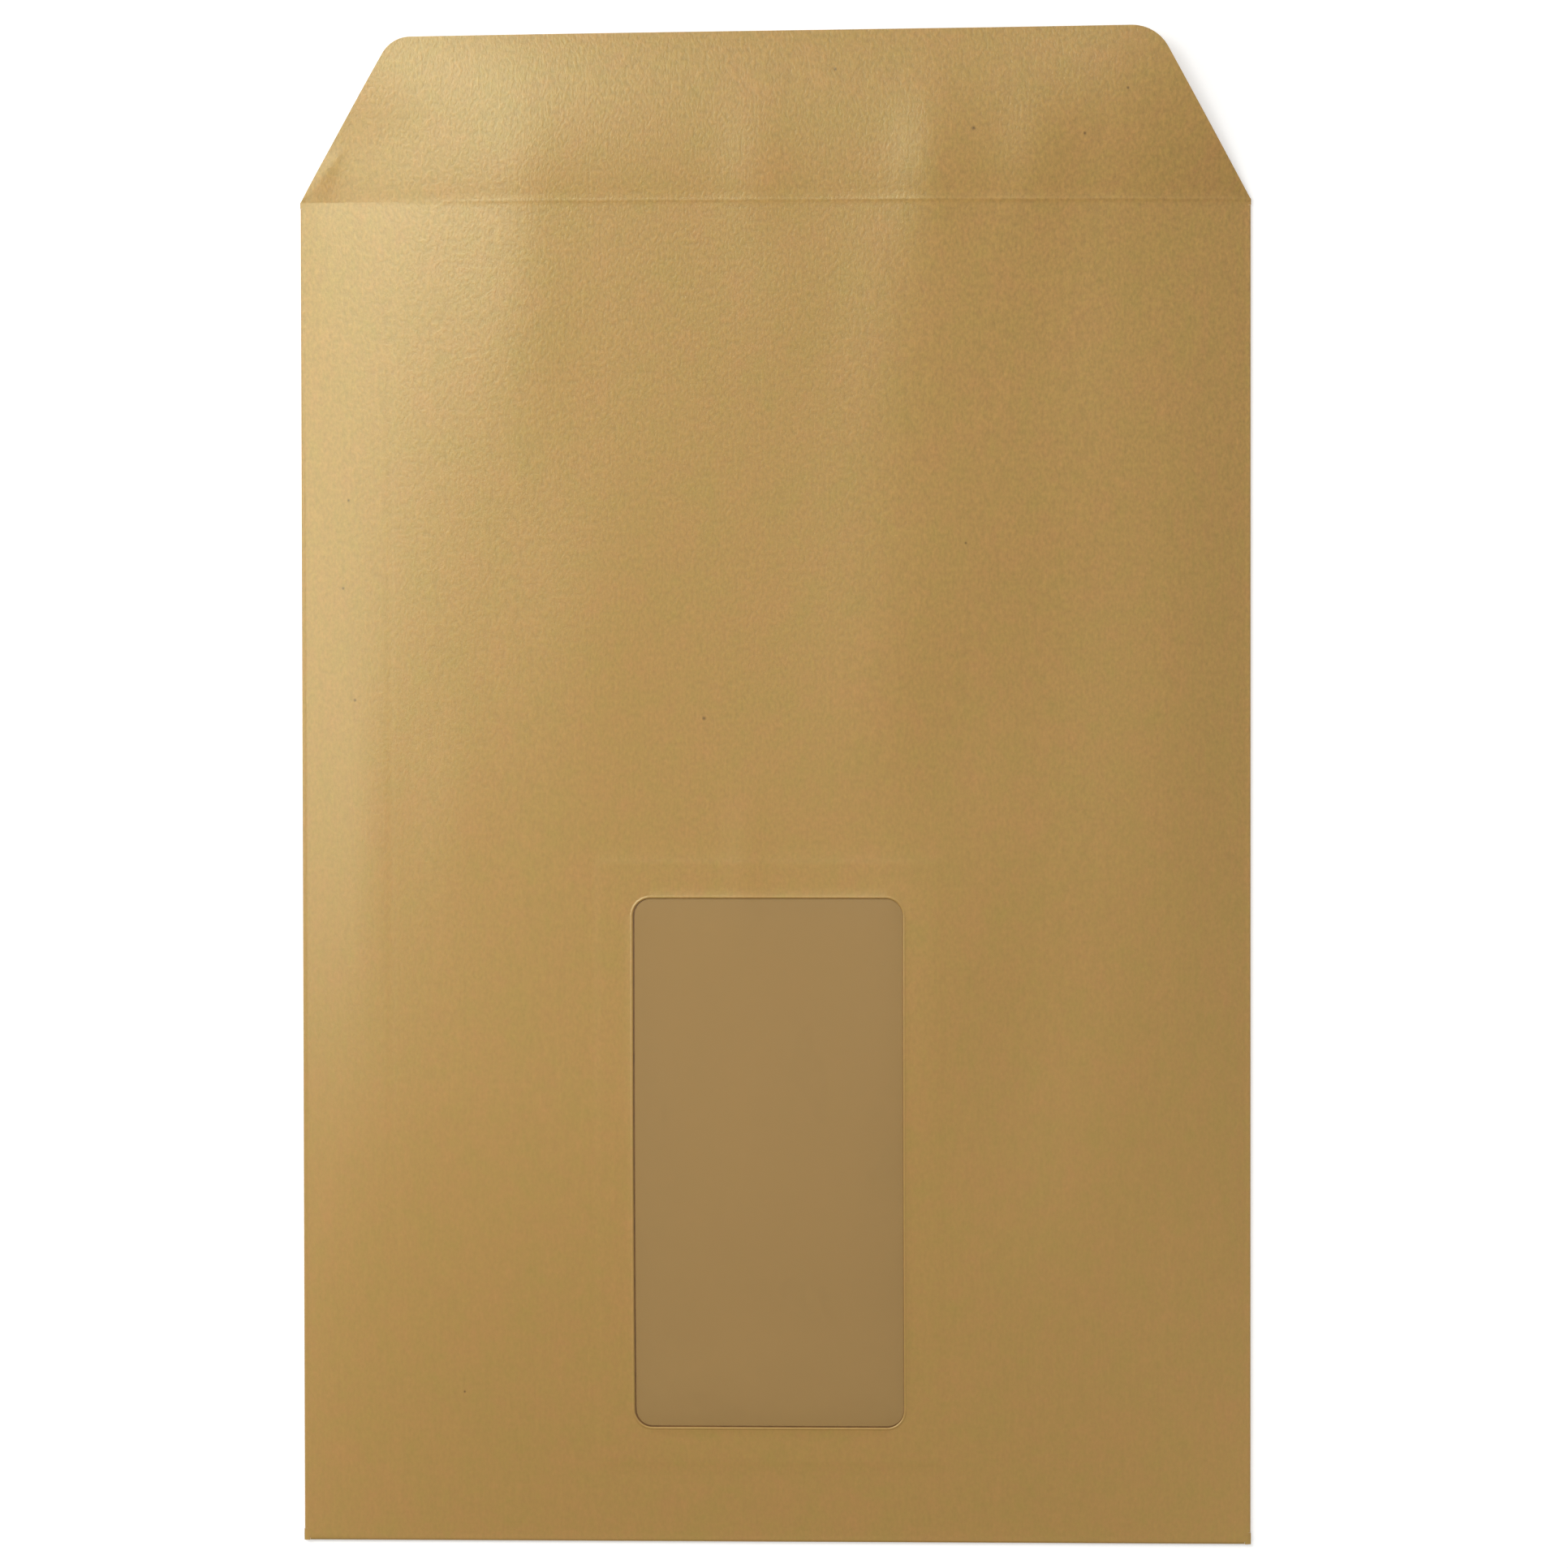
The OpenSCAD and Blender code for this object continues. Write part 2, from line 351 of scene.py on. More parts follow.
def front_plan(column, row):
    """Plan of the front and the flap. Rows over the crease are heights at the flap's left side."""
    share_x = column / HALF_W
    share_y = np.maximum(0, row - CREASE_Y) / FLAP_LEFT_H
    flap = flap_point(share_x, share_y)
    for side, r in ((-1, FLAP_LEFT_R), (1, FLAP_RIGHT_R)):
        inside, drawn_in = rounded_flap(share_x, share_y, side, r)
        flap = np.where(inside, drawn_in, flap)
    x = np.where(row > CREASE_Y, flap[0], column)
    y = np.where(row > CREASE_Y, CREASE_Y + flap[1], row)
    for corner_x, side_x in ((WINDOW_X0 - RIM_W, 1), (WINDOW_X1 + RIM_W, -1)):
        for corner_y, side_y in ((WINDOW_Y0 - RIM_W, 1), (WINDOW_Y1 + RIM_W, -1)):
            x, y = hollow_corner(x, y, corner_x, corner_y, side_x, side_y, WINDOW_R + RIM_W)
    return x, y


def front_place(column, row):
    x, y = front_plan(column, row)
    return x, y, front_z(x, y)


def side_place(side):
    """The side fold and side flap on one side. Columns up to FOLD_STEPS turn the fold."""

    def place(column, row):
        turn = np.pi * np.minimum(column, FOLD_STEPS) / FOLD_STEPS
        inward = clamp01(column - FOLD_STEPS)
        x = PANEL_X + SIDE_FOLD_R * np.sin(turn) - inward * (PANEL_X - SIDE_INNER_X)
        z = EDGE_Z - SIDE_FOLD_R + SIDE_FOLD_R * np.cos(turn)
        share = (row - SIDE_LOW_Y) / (SIDE_HIGH_Y - SIDE_LOW_Y)
        y = row + inward * SIDE_FLAP_SLANT * (1 - 2 * share)
        return side * x, y, z

    return place


def back_place(column, row):
    """The bottom fold and the back panel. Rows below 0 turn the fold, the others lie past it."""
    turn = np.pi * (1 + np.minimum(row, 0) / FOLD_STEPS)
    r = BOTTOM_R - PAPER_T
    y = PANEL_Y - r * np.sin(turn) + np.maximum(row, 0)
    z = BOTTOM_R + r * np.cos(turn)
    x = column
    for side in (-1, 1):
        x, y = full_corner(x, y, side * BACK_X, MOUTH_Y, side, 1, BACK_CORNER_R)
    return x, y, z


def delete_faces(piece, wanted):
    """Deletes the faces whose middle is wanted(x, y), in millimetres."""
    make_active(piece)
    bpy.ops.object.mode_set(mode="EDIT")
    bpy.ops.mesh.select_mode(type="FACE")
    bpy.ops.mesh.select_all(action="DESELECT")
    bpy.ops.object.mode_set(mode="OBJECT")
    for face in piece.data.polygons:
        face.select = bool(wanted(face.center.x / MM, face.center.y / MM))
    bpy.ops.object.mode_set(mode="EDIT")
    bpy.ops.mesh.delete(type="FACE")
    bpy.ops.object.mode_set(mode="OBJECT")


def apply_solidify(piece, thickness):
    """Gives a sheet its thickness on the side that its faces point to."""
    make_active(piece)
    solid = piece.modifiers.new("thickness", "SOLIDIFY")
    solid.thickness = thickness * MM
    solid.offset = 1
    solid.use_even_offset = True
    bpy.ops.object.modifier_apply(modifier=solid.name)


def finish_mesh(piece):
    """Shades the sheet smooth, with its cut edges left sharp."""
    make_active(piece)
    bpy.ops.object.shade_smooth_by_angle(angle=math.radians(SHARP_ANGLE))


# The window is a core rectangle with a band of width WINDOW_R round it
WINDOW_MIDDLE = np.array([WINDOW_X0 + WINDOW_X1, WINDOW_Y0 + WINDOW_Y1]) / 2
WINDOW_CORE = np.array([WINDOW_W, WINDOW_H]) / 2 - WINDOW_R


def window_gap(x, y):
    """Distance from the window's rounded outline, positive on the paper."""
    dx = np.abs(x - WINDOW_MIDDLE[0]) - WINDOW_CORE[0]
    dy = np.abs(y - WINDOW_MIDDLE[1]) - WINDOW_CORE[1]
    outside = np.hypot(np.maximum(dx, 0), np.maximum(dy, 0))
    return outside + np.minimum(np.maximum(dx, dy), 0) - WINDOW_R


# The rim of the window: the die has raised a low lip and rounded the cut edge down
RIM_W = 0.5
RIM_GAPS = (0.42, 0.35, 0.29, 0.23, 0.18, 0.13, 0.09, 0.05, 0.0)
LIP_H = 0.085
LIP_AT = 0.22
LIP_HALF = 0.28
EDGE_W = 0.2
EDGE_DROP = 0.06

# Half widths of the bands with finer grid lines: at a pressed edge, and at a rounded corner
PRESSED_X = 1.5
PRESSED_Y = 1.0
CORNER_BAND = 4.0
COCKLE_BAND = 30.0

front_columns = spaced(
    (-HALF_W, 0.4),
    (-PANEL_X, 0.3),
    (-BACK_X - CORNER_CUT, CORNER_CUT),
    (-BACK_X, 0.6),
    (CORNER_BAND - BACK_X, 1.8),
    (-SIDE_INNER_X - PRESSED_X, 0.5),
    (-SIDE_INNER_X + PRESSED_X, 1.7),
    (FILM_X0 - PRESSED_X, 0.5),
    (FILM_X0 + PRESSED_X, 1.4),
    (WINDOW_X0 - RIM_W, 0.44),
    (WINDOW_X0 + WINDOW_R, 1.8),
    (WINDOW_X1 - WINDOW_R, 0.44),
    (WINDOW_X1 + RIM_W, 1.4),
    (FILM_X1 - PRESSED_X, 0.5),
    (FILM_X1 + PRESSED_X, 1.7),
    (SIDE_INNER_X - PRESSED_X, 0.5),
    (SIDE_INNER_X + PRESSED_X, 1.8),
    (BACK_X - CORNER_BAND, 0.6),
    (BACK_X, CORNER_CUT),
    (BACK_X + CORNER_CUT, 0.3),
    (PANEL_X, 0.4),
    (HALF_W, 0),
)
front_rows = spaced(
    (BOTTOM_Y, 0.45),
    (PANEL_Y, 0.4),
    (BOW_Y, 0.6),
    (SIDE_LOW_Y - CORNER_CUT, CORNER_CUT),
    (SIDE_LOW_Y, 2.0),
    (FILM_Y0 - PRESSED_Y, 0.5),
    (FILM_Y0 + PRESSED_Y, 1.5),
    (WINDOW_Y0 - RIM_W, 0.44),
    (WINDOW_Y0 + WINDOW_R, 2.2),
    (WINDOW_Y1 - WINDOW_R, 0.44),
    (WINDOW_Y1 + RIM_W, 1.5),
    (FILM_Y1 - PRESSED_Y, 0.5),
    (FILM_Y1 + PRESSED_Y, 2.2),
    (CREASE_Y - COCKLE_BAND, 1.5),
    (SIDE_HIGH_Y, CORNER_CUT),
    (SIDE_HIGH_Y + CORNER_CUT, 0.4),
    (CREASE_Y - CREASE_W / 2, 0.15),
    (CREASE_Y + CREASE_W / 2, 1.2),
    (CREASE_Y + FLAP_LEFT_H - CORNER_BAND, 0.5),
    (CREASE_Y + FLAP_LEFT_H, 0),
)


def in_window(x, y):
    """Inside the opening that the rim is then drawn into."""
    return window_gap(x, y) < RIM_W - TOUCH


def at_gap(plan, gap):
    """Points round the window, moved square to its outline until they lie at the gap from it."""
    arm = plan - WINDOW_MIDDLE - np.clip(plan - WINDOW_MIDDLE, -WINDOW_CORE, WINDOW_CORE)
    length = np.linalg.norm(arm, axis=1, keepdims=True)
    return plan + arm * ((WINDOW_R + gap) / length - 1)


def draw_rim(piece):
    """Draws the edge of the opening inwards, ring by ring, to the window's outline."""
    x, y, z = points_of(piece).T / MM
    on_outline = np.abs(window_gap(x, y) - RIM_W) < TOUCH
    make_active(piece)
    bpy.ops.object.mode_set(mode="EDIT")
    bpy.ops.mesh.select_mode(type="VERT")
    bpy.ops.mesh.select_all(action="DESELECT")
    bpy.ops.object.mode_set(mode="OBJECT")
    piece.data.vertices.foreach_set("select", on_outline)
    for gap in RIM_GAPS:
        bpy.ops.object.mode_set(mode="EDIT")
        bpy.ops.mesh.select_mode(type="VERT")
        bpy.ops.mesh.extrude_edges_move()
        bpy.ops.object.mode_set(mode="OBJECT")
        points = points_of(piece) / MM
        moved = np.empty(len(points), dtype=bool)
        piece.data.vertices.foreach_get("select", moved)
        points[moved, :2] = at_gap(points[moved, :2], gap)
        points[moved, 2] = front_z(*points[moved, :2].T)
        set_points(piece, points * MM)


def rim_rise(gap):
    """What the die has raised or rounded down on the paper's face, at a gap from the window."""
    lip = LIP_H * np.cos(np.pi / 2 * np.clip((gap - LIP_AT) / LIP_HALF, -1, 1)) ** 2
    return lip - EDGE_DROP * clamp01(1 - gap / EDGE_W) ** 2


def in_fold(x, y):
    """Where a fold takes the place of the flat sheet, or a cut frees the corner beside it."""
    beside = abs(x) > PANEL_X and SIDE_LOW_Y - CORNER_CUT < y < SIDE_HIGH_Y + CORNER_CUT
    below = y < PANEL_Y and abs(x) < BACK_X + CORNER_CUT
    return beside or below


def envelope_sheet():
    """The whole blank: front, flap, side flaps and back, joined at the folds, with its thickness."""
    front = laid_grid("kraft_envelope", front_columns, front_rows, front_place)
    delete_faces(front, lambda x, y: in_window(x, y) or in_fold(x, y))
    draw_rim(front)
    fold_lines = np.arange(FOLD_STEPS + 1.0)
    flap_lines = np.arange(1, SIDE_FLAP_STEPS + 1) / SIDE_FLAP_STEPS
    side_columns = np.append(fold_lines, FOLD_STEPS + flap_lines)
    side_rows = front_rows[(front_rows > SIDE_LOW_Y - TOUCH) & (front_rows < SIDE_HIGH_Y + TOUCH)]
    sides = [laid_grid("side", side_columns, side_rows, side_place(side)) for side in (-1, 1)]
    back_columns = front_columns[np.abs(front_columns) < BACK_X + TOUCH]
    back_h = MOUTH_Y - PANEL_Y
    panel_rows = spaced((0, 5), (back_h - CORNER_BAND, 0.5), (back_h, 0))
    back_rows = np.append(fold_lines[:-1] - FOLD_STEPS, panel_rows)
    back = laid_grid("back", back_columns, back_rows, back_place)

    make_active(front, *sides, back)
    bpy.ops.object.join()
    bpy.ops.object.mode_set(mode="EDIT")
    bpy.ops.mesh.select_all(action="SELECT")
    bpy.ops.mesh.remove_doubles(threshold=TOUCH * MM)
    bpy.ops.mesh.normals_make_consistent(inside=False)
    bpy.ops.object.mode_set(mode="OBJECT")
    top = max(front.data.polygons, key=lambda face: face.center.z)
    if top.normal.z < 0:
        front.data.flip_normals()
    apply_solidify(front, PAPER_T)

    points = points_of(front) / MM
    x, y, z = points.T
    on_top = z > front_z(x, y) + PAPER_T / 2
    points[:, 2] += np.where(on_top, rim_rise(window_gap(x, y)), 0)
    set_points(front, points * MM)
    finish_mesh(front)
    return front


def under_front(drop):
    """Places a sheet on the underside of the front, lower by drop."""

    def place(x, y):
        return x, y, front_z(x, y) - drop

    return place


# The film is drawn a little up into the window, like a taut cushion
CUSHION_H = 0.3
CUSHION_W = 3.0
# Width of the bands of finer grid lines along the film's edge and inside the window's edge
FILM_BAND = 2.0


def film_top(x, y):
    rise = CUSHION_H * (1 - np.exp(np.minimum(0, window_gap(x, y)) / CUSHION_W))
    return front_z(x, y) - GLUE_T + rise


def film_lines(low, window_low, window_high, high):
    """Grid lines of the film from low to high, with the bands of finer ones."""
    return spaced(
        (low, 0.5),
        (low + FILM_BAND, 2),
        (window_low, 0.2),
        (window_low + FILM_BAND, 2),
        (window_high - FILM_BAND, 0.2),
        (window_high, 2),
        (high - FILM_BAND, 0.5),
        (high, 0),
    )


def film_sheet():
    columns = film_lines(FILM_X0, WINDOW_X0, WINDOW_X1, FILM_X1)
    rows = film_lines(FILM_Y0, WINDOW_Y0, WINDOW_Y1, FILM_Y1)

    def place(x, y):
        for corner_x, side_x in ((FILM_X0, -1), (FILM_X1, 1)):
            for corner_y, side_y in ((FILM_Y0, -1), (FILM_Y1, 1)):
                x, y = full_corner(x, y, corner_x, corner_y, side_x, side_y, FILM_R)
        return x, y, film_top(x, y) - FILM_T

    film = laid_grid("clear_film", columns, rows, place)
    apply_solidify(film, FILM_T)
    finish_mesh(film)
    return film


# Painted shade along the window's rim: a dark ring on the film, mostly under the rim, showing a
# little further at the left and at the bottom
SHADE_COVERED = 0.3
SHADE_SHOWN = 0.15
SHADE_SHIFT = 0.1
SHADE_T = 0.01
SHADE_LIFT = 0.004
ARC_STEPS = 8
RUN_STEPS = 40


def window_path():
    """Points on the window's outline, once round it from the right-hand side."""
    corners = WINDOW_MIDDLE + WINDOW_CORE * np.array([(1, 1), (-1, 1), (-1, -1), (1, -1), (1, 1)])
    points = []
    for k in range(4):
        arc = np.pi / 2 * (k + np.arange(ARC_STEPS + 1) / ARC_STEPS)
        points += [corners[k] + WINDOW_R * np.array([np.cos(a), np.sin(a)]) for a in arc]
        run = (corners[k + 1] - corners[k]) / RUN_STEPS
        points += [points[-1] + run * step for step in range(1, RUN_STEPS)]
    return np.array(points + points[:1])


def rim_shade_ring():
    """A narrow ring of painted shade on the film, most of it under the rim of the window."""
    path = window_path()
    outer = at_gap(path, SHADE_COVERED)
    inner = at_gap(path, -SHADE_SHOWN) + SHADE_SHIFT

    def place(column, row):
        along = column.astype(int)
        x, y = (outer[along] + row[:, None] * (inner[along] - outer[along])).T
        return x, y, film_top(x, y) + SHADE_LIFT

    rim_shade = laid_grid("rim_shade_ring", np.arange(float(len(path))), np.array([0.0, 1.0]), place)
    bpy.ops.object.mode_set(mode="EDIT")
    bpy.ops.mesh.select_all(action="SELECT")
    bpy.ops.mesh.remove_doubles(threshold=TOUCH * MM)
    bpy.ops.object.mode_set(mode="OBJECT")
    if rim_shade.data.polygons[0].normal.z < 0:
        rim_shade.data.flip_normals()
    apply_solidify(rim_shade, SHADE_T)
    finish_mesh(rim_shade)
    return rim_shade


def gum_band():
    inset = GUM_MARGIN + max(FLAP_LEFT_R, FLAP_RIGHT_R) / 2
    half = HALF_W - FLAP_INSET - inset

    def place(column, row):
        right = (column / half + 1) / 2
        y = CREASE_Y + FLAP_LEFT_H + (FLAP_RIGHT_H - FLAP_LEFT_H) * right - GUM_MARGIN + row
        return under_front(GLUE_T + GUM_T)(column, y)

    gum = laid_grid("gum_band", spaced((-half, 2), (half, 0)), spaced((-GUM_W, 1.4), (0, 0)), place)
    apply_solidify(gum, GUM_T)
    finish_mesh(gum)
    return gum


def linear(hex_colour):
    """An sRGB hex colour as linear red, green and blue, with alpha 1."""
    parts = [int(hex_colour[k : k + 2], 16) / 255 for k in (1, 3, 5)]
    return [c / 12.92 if c <= 0.04045 else ((c + 0.055) / 1.055) ** 2.4 for c in parts] + [1.0]


def fill(tree, node, inputs):
    """Links or sets a node's inputs by name or number."""
    for key, value in inputs.items():
        if isinstance(value, bpy.types.NodeSocket):
            tree.links.new(value, node.inputs[key])
        else:
            node.inputs[key].default_value = value


def add(tree, kind, inputs=None, **settings):
    """Adds a node with its settings and its inputs."""
    made = tree.nodes.new(kind)
    for key, value in settings.items():
        setattr(made, key, value)
    fill(tree, made, inputs or {})
    return made


# The colour sockets of a Mix node, and its settings for a blend and for a tint by a factor near 1
COLOUR_A = 6
COLOUR_B = 7
COLOUR_OUT = 2
BLEND = {"data_type": "RGBA"}
TINT = {"data_type": "RGBA", "blend_type": "MULTIPLY"}
# The range that nearly all values of a noise texture lie in
NOISE_LOW = 0.3
NOISE_HIGH = 0.7


def new_material(name):
    """A material with a Principled shader, its tree and the object coordinates in metres."""
    made = bpy.data.materials.new(name)
    made.use_nodes = True
    tree = made.node_tree
    place = add(tree, "ShaderNodeTexCoord").outputs["Object"]
    return made, tree, tree.nodes["Principled BSDF"], place


def pattern(tree, place, size, low, high, detail=2.0, roughness=0.5):
    """A value that wanders between low and high in spots of about size millimetres across and up."""
    scale = (1 / (size[0] * MM), 1 / (size[1] * MM), 1 / MM)
    spot = add(tree, "ShaderNodeMapping", {"Vector": place, "Scale": scale}).outputs["Vector"]
    grey = add(
        tree,
        "ShaderNodeTexNoise",
        {"Vector": spot, "Scale": 1.0, "Detail": detail, "Roughness": roughness},
    ).outputs["Fac"]
    ends = {"From Min": NOISE_LOW, "From Max": NOISE_HIGH, "To Min": low, "To Max": high}
    return add(tree, "ShaderNodeMapRange", {"Value": grey, **ends}, clamp=False).outputs["Result"]


# Dark specks of bark in the pulp: place across and up, and radius
BARK_SPECKS = (
    (-11.8, 11.9, 0.45),
    (34.1, 111.8, 0.45),
    (10.7, 121.9, 0.4),
    (-72.7, 49.1, 0.35),
    (-73.7, 34.1, 0.35),
    (-71.7, 15.0, 0.35),
    (60.2, 118.5, 0.35),
    (52.9, 110.9, 0.35),
    (32.7, 41.6, 0.3),
    (-53.2, -103.3, 0.3),
)


# The paper's grain shows faintly at the foot and most at the flap: share of the colour, and depth.
# Its colour growing towards the flap is painted raking light
FAINT_Y = -60.0
STRONG_Y = 100.0
GRAIN_FAINT = 0.05
GRAIN_STRONG = 0.16
GRAIN_DEPTH = 0.06


def kraft_paper():
    """Machine-glazed brown kraft: it shines softly over a fine grain, its pulp faintly blotched."""
    made, tree, shader, place = new_material("kraft_paper_machine_glazed")
    blotch = pattern(tree, place, (8, 9), 0, 1, detail=4, roughness=0.9)
    # Real fibres are 0.02 mm wide, too fine to be seen: these stand for bundles of them
    grain = pattern(tree, place, (0.5, 0.8), -1, 1, detail=3, roughness=0.6)
    fibre = pattern(tree, place, (0.6, 4.0), 0.98, 1.02)
    upwards = add(tree, "ShaderNodeSeparateXYZ", {0: place}).outputs["Y"]
    ends = {
        "From Min": FAINT_Y * MM,
        "From Max": STRONG_Y * MM,
        "To Min": GRAIN_FAINT,
        "To Max": GRAIN_STRONG,
    }
    amount = add(tree, "ShaderNodeMapRange", {"Value": upwards, **ends}).outputs["Result"]
    grained = add(
        tree, "ShaderNodeMath", {0: grain, 1: amount, 2: 1.0}, operation="MULTIPLY_ADD"
    ).outputs[0]
    two_pulps = {0: blotch, COLOUR_A: linear("#A3803B"), COLOUR_B: linear("#AC7D41")}
    colour = add(tree, "ShaderNodeMix", two_pulps, **BLEND).outputs[COLOUR_OUT]
    for factor in (grained, fibre):
        tint = {0: 1.0, COLOUR_A: colour, COLOUR_B: factor}
        colour = add(tree, "ShaderNodeMix", tint, **TINT).outputs[COLOUR_OUT]
    plan = add(tree, "ShaderNodeMapping", {"Vector": place, "Scale": (1, 1, 0)}).outputs["Vector"]
    for across, up, radius in BARK_SPECKS:
        away = add(
            tree,
            "ShaderNodeVectorMath",
            {0: plan, 1: (across * MM, up * MM, 0)},
            operation="DISTANCE",
        ).outputs["Value"]
        share = {"Value": away, "From Max": radius * MM, "To Min": 1, "To Max": 0}
        dark = add(tree, "ShaderNodeMapRange", share).outputs["Result"]
        speck = {0: dark, COLOUR_A: colour, COLOUR_B: linear("#5E3A12")}
        colour = add(tree, "ShaderNodeMix", speck, **BLEND).outputs[COLOUR_OUT]
    bump = add(
        tree, "ShaderNodeBump", {"Height": grained, "Distance": GRAIN_DEPTH * MM}
    ).outputs["Normal"]
    # The glaze is thin, so its shine takes on a little of the paper's yellow
    look = {
        "Base Color": colour,
        "Roughness": 0.33,
        "Specular IOR Level": 1.0,
        "Specular Tint": linear("#F3FFDA"),
        "Normal": bump,
    }
    fill(tree, shader, look)
    return made


# Depth of the film's ripples and of the gum's streaks, over a change of 1 in the pattern
RIPPLE_DEPTH = 0.008
STREAK_DEPTH = 0.05


def clear_film():
    """Polystyrene film, half see-through, with painted light in its tan colour: the tan stands in for
    the lit paper behind it and covers the shade inside the pocket. Faint ripples catch its gloss.
    """
    made, tree, shader, place = new_material("clear_polystyrene_film")
    haze = pattern(tree, place, (15, 40), 0.98, 1.02, detail=3)
    gloss = pattern(tree, place, (15, 40), 0.29, 0.22, detail=3)
    ripple = pattern(tree, place, (1.2, 5), 0, 1)
    depth = {"Height": ripple, "Distance": RIPPLE_DEPTH * MM}
    bump = add(tree, "ShaderNodeBump", depth).outputs["Normal"]
    # The tan is painted light: the lit inside of the back panel, laid into the film's own colour
    tint = {0: 1.0, COLOUR_A: linear("#BA965C"), COLOUR_B: haze}
    colour = add(tree, "ShaderNodeMix", tint, **TINT).outputs[COLOUR_OUT]
    fill(tree, shader, {"Base Color": colour, "Roughness": gloss, "Alpha": 0.5, "Normal": bump})
    return made


def dry_gum():
    """Remoistenable gum, rolled on along the flap and dried to a glossy coat with fine streaks."""
    made, tree, shader, place = new_material("dried_envelope_gum")
    streaks = pattern(tree, place, (18, 0.8), 0.9, 1.1, detail=3)
    gloss = pattern(tree, place, (6, 2), 0.22, 0.4)
    depth = {"Height": streaks, "Distance": STREAK_DEPTH * MM}
    bump = add(tree, "ShaderNodeBump", depth).outputs["Normal"]
    tint = {0: 1.0, COLOUR_A: linear("#B08A55"), COLOUR_B: streaks}
    colour = add(tree, "ShaderNodeMix", tint, **TINT).outputs[COLOUR_OUT]
    fill(tree, shader, {"Base Color": colour, "Roughness": gloss, "Normal": bump})
    return made


def rim_shade_material():
    """Painted shade: a dark brown line on the film at the cut edge of the paper, darker in patches.
    """
    made, tree, shader, place = new_material("painted_shade_at_window_rim")
    patchy_shade = pattern(tree, place, (2.5, 2.5), 0.75, 1.25, detail=3)
    gloss = pattern(tree, place, (1.2, 1.2), 0.4, 0.6)
    # This dark brown is painted shade, darker in patches
    tint = {0: 1.0, COLOUR_A: linear("#6A4818"), COLOUR_B: patchy_shade}
    colour = add(tree, "ShaderNodeMix", tint, **TINT).outputs[COLOUR_OUT]
    fill(tree, shader, {"Base Color": colour, "Roughness": gloss})
    return made


# The table top, and how much it glows to the camera and in reflections
TABLE_SIZE = 6000.0
TABLE_DROP = 0.1
TABLE_GLOW = 0.35


def white_table():
    """A matt white table top, seen at full white except under the soft shadow of the object."""
    made, tree, shader, _ = new_material("white_table")
    rays = add(tree, "ShaderNodeLightPath").outputs
    seen = rays["Is Camera Ray"]
    for kind in ("Is Glossy Ray", "Is Transmission Ray"):
        both = {0: seen, 1: rays[kind]}
        seen = add(tree, "ShaderNodeMath", both, operation="MAXIMUM").outputs[0]
    glow = add(tree, "ShaderNodeMath", {0: seen, 1: TABLE_GLOW}, operation="MULTIPLY").outputs[0]
    look = {
        "Base Color": linear("#F0F0EE"),
        "Roughness": 0.9,
        "Emission Color": linear("#FFFFFF"),
        "Emission Strength": glow,
    }
    fill(tree, shader, look)
    return made


def table():
    deselect_all()
    bpy.ops.mesh.primitive_plane_add(size=TABLE_SIZE * MM, location=(0, 0, -TABLE_DROP * MM))
    plane = bpy.context.object
    plane.name = "table"
    plane.data.materials.append(white_table())


# The camera looks almost straight down from 1.2 m up
CAMERA_AT = (59.6, 31.5, 1198.1)
CAMERA_TURN = (-1.478, 2.775, -0.018)
IMAGE_PX = 1932
FOCAL_PX = 8660
SENSOR = 36.0
FARTHEST = 10000.0


def camera():
    deselect_all()
    bpy.ops.object.camera_add(location=Vector(CAMERA_AT) * MM)
    made = bpy.context.object
    made.rotation_mode = "ZYX"
    made.rotation_euler = [math.radians(a) for a in CAMERA_TURN]
    made.data.sensor_width = SENSOR
    made.data.lens = SENSOR * FOCAL_PX / IMAGE_PX
    made.data.clip_end = FARTHEST * MM
    bpy.context.scene.camera = made


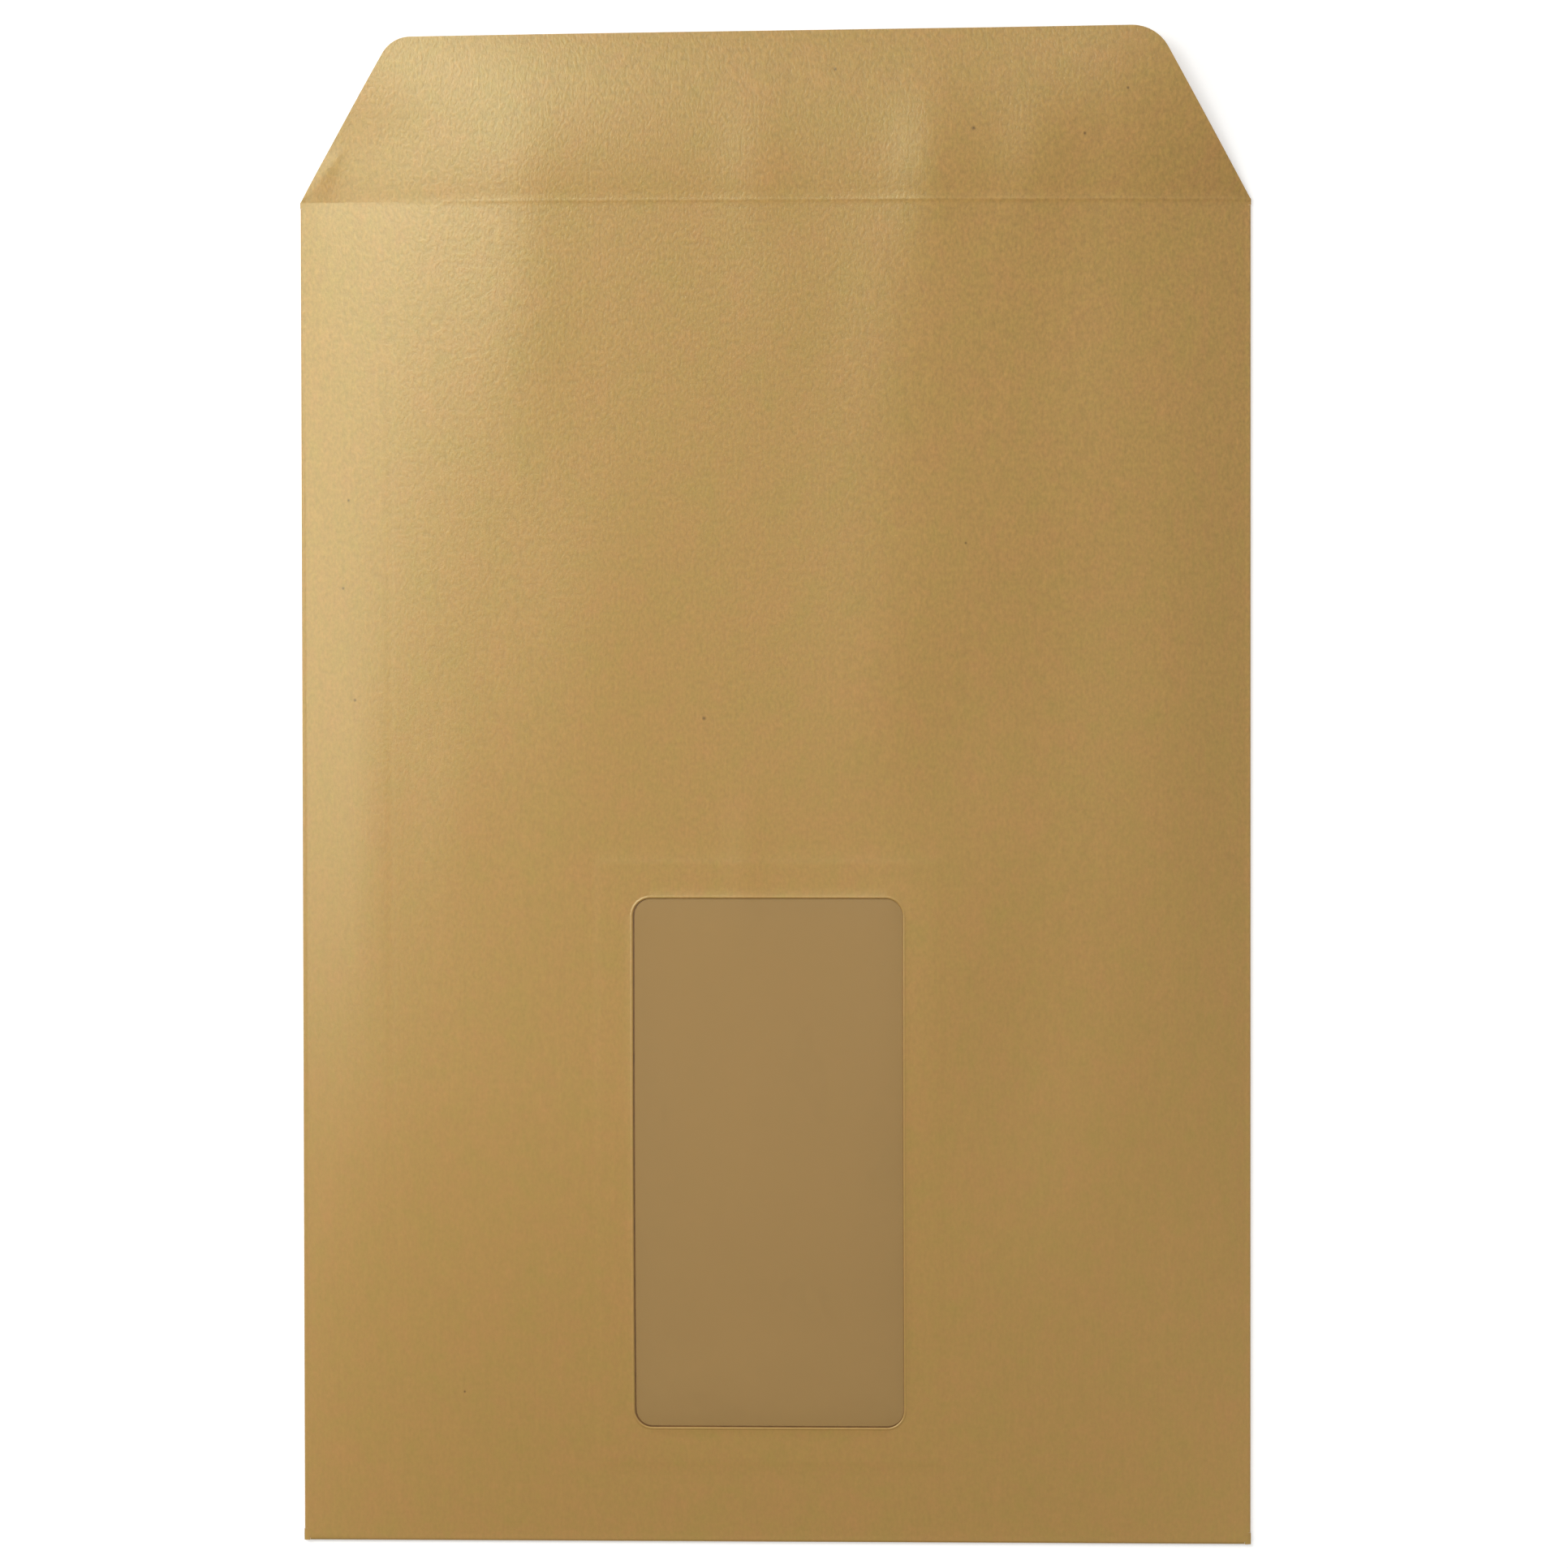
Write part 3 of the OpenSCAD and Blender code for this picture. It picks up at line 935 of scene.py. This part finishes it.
# Two soft lamps at the left: a low one that rakes over the sheet, and a high one behind the flap
LAMP_SIZE = 250.0
LOW_LAMP_AT = (-255, 80, 215)
LOW_LAMP_WATTS = 0.48
HIGH_LAMP_AT = (-265, 285, 700)
HIGH_LAMP_WATTS = 1.35


def lamp(name, place, watts):
    """A square lamp that faces the middle of the object."""
    deselect_all()
    bpy.ops.object.light_add(type="AREA", location=Vector(place) * MM)
    made = bpy.context.object
    made.name = name
    made.rotation_mode = "QUATERNION"
    made.rotation_quaternion = (-Vector(place)).to_track_quat("-Z", "Y")
    made.data.shape = "SQUARE"
    made.data.size = LAMP_SIZE * MM
    made.data.energy = watts


# The room is brighter behind the flap than before the foot
ROOM_DARK = 0.2
ROOM_BRIGHT = 1.11


def lights():
    """The lamps, and a soft room that the camera sees as white."""
    world = bpy.data.worlds.new("soft_room")
    bpy.context.scene.world = world
    world.use_nodes = True
    tree = world.node_tree
    towards = add(tree, "ShaderNodeTexCoord").outputs["Generated"]
    ahead = add(tree, "ShaderNodeSeparateXYZ", {0: towards}).outputs["Y"]
    ends = {"From Min": -1, "From Max": 1, "To Min": ROOM_DARK, "To Max": ROOM_BRIGHT}
    level = add(tree, "ShaderNodeMapRange", {"Value": ahead, **ends}).outputs["Result"]
    seen = add(tree, "ShaderNodeLightPath").outputs["Is Camera Ray"]
    strength = add(tree, "ShaderNodeMix", {"Factor": seen, "A": level, "B": 1.0}).outputs["Result"]
    fill(tree, tree.nodes["Background"], {"Color": linear("#FFFFFF"), "Strength": strength})
    lamp("low_lamp", LOW_LAMP_AT, LOW_LAMP_WATTS)
    lamp("high_lamp", HIGH_LAMP_AT, HIGH_LAMP_WATTS)


camera()
table()
lights()

envelope = envelope_sheet()
envelope.data.materials.append(kraft_paper())
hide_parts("envelope")
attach(envelope, "root")

film = film_sheet()
film.data.materials.append(clear_film())
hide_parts("window_film")
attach(film, "root")

# The window's rim: a ring of painted shade on the film
rim_shade = rim_shade_ring()
rim_shade.data.materials.append(rim_shade_material())
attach(rim_shade, "root")

gum = gum_band()
gum.data.materials.append(dry_gum())
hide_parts("flap_gum")
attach(gum, "root")

bpy.context.scene.view_settings.view_transform = "Standard"
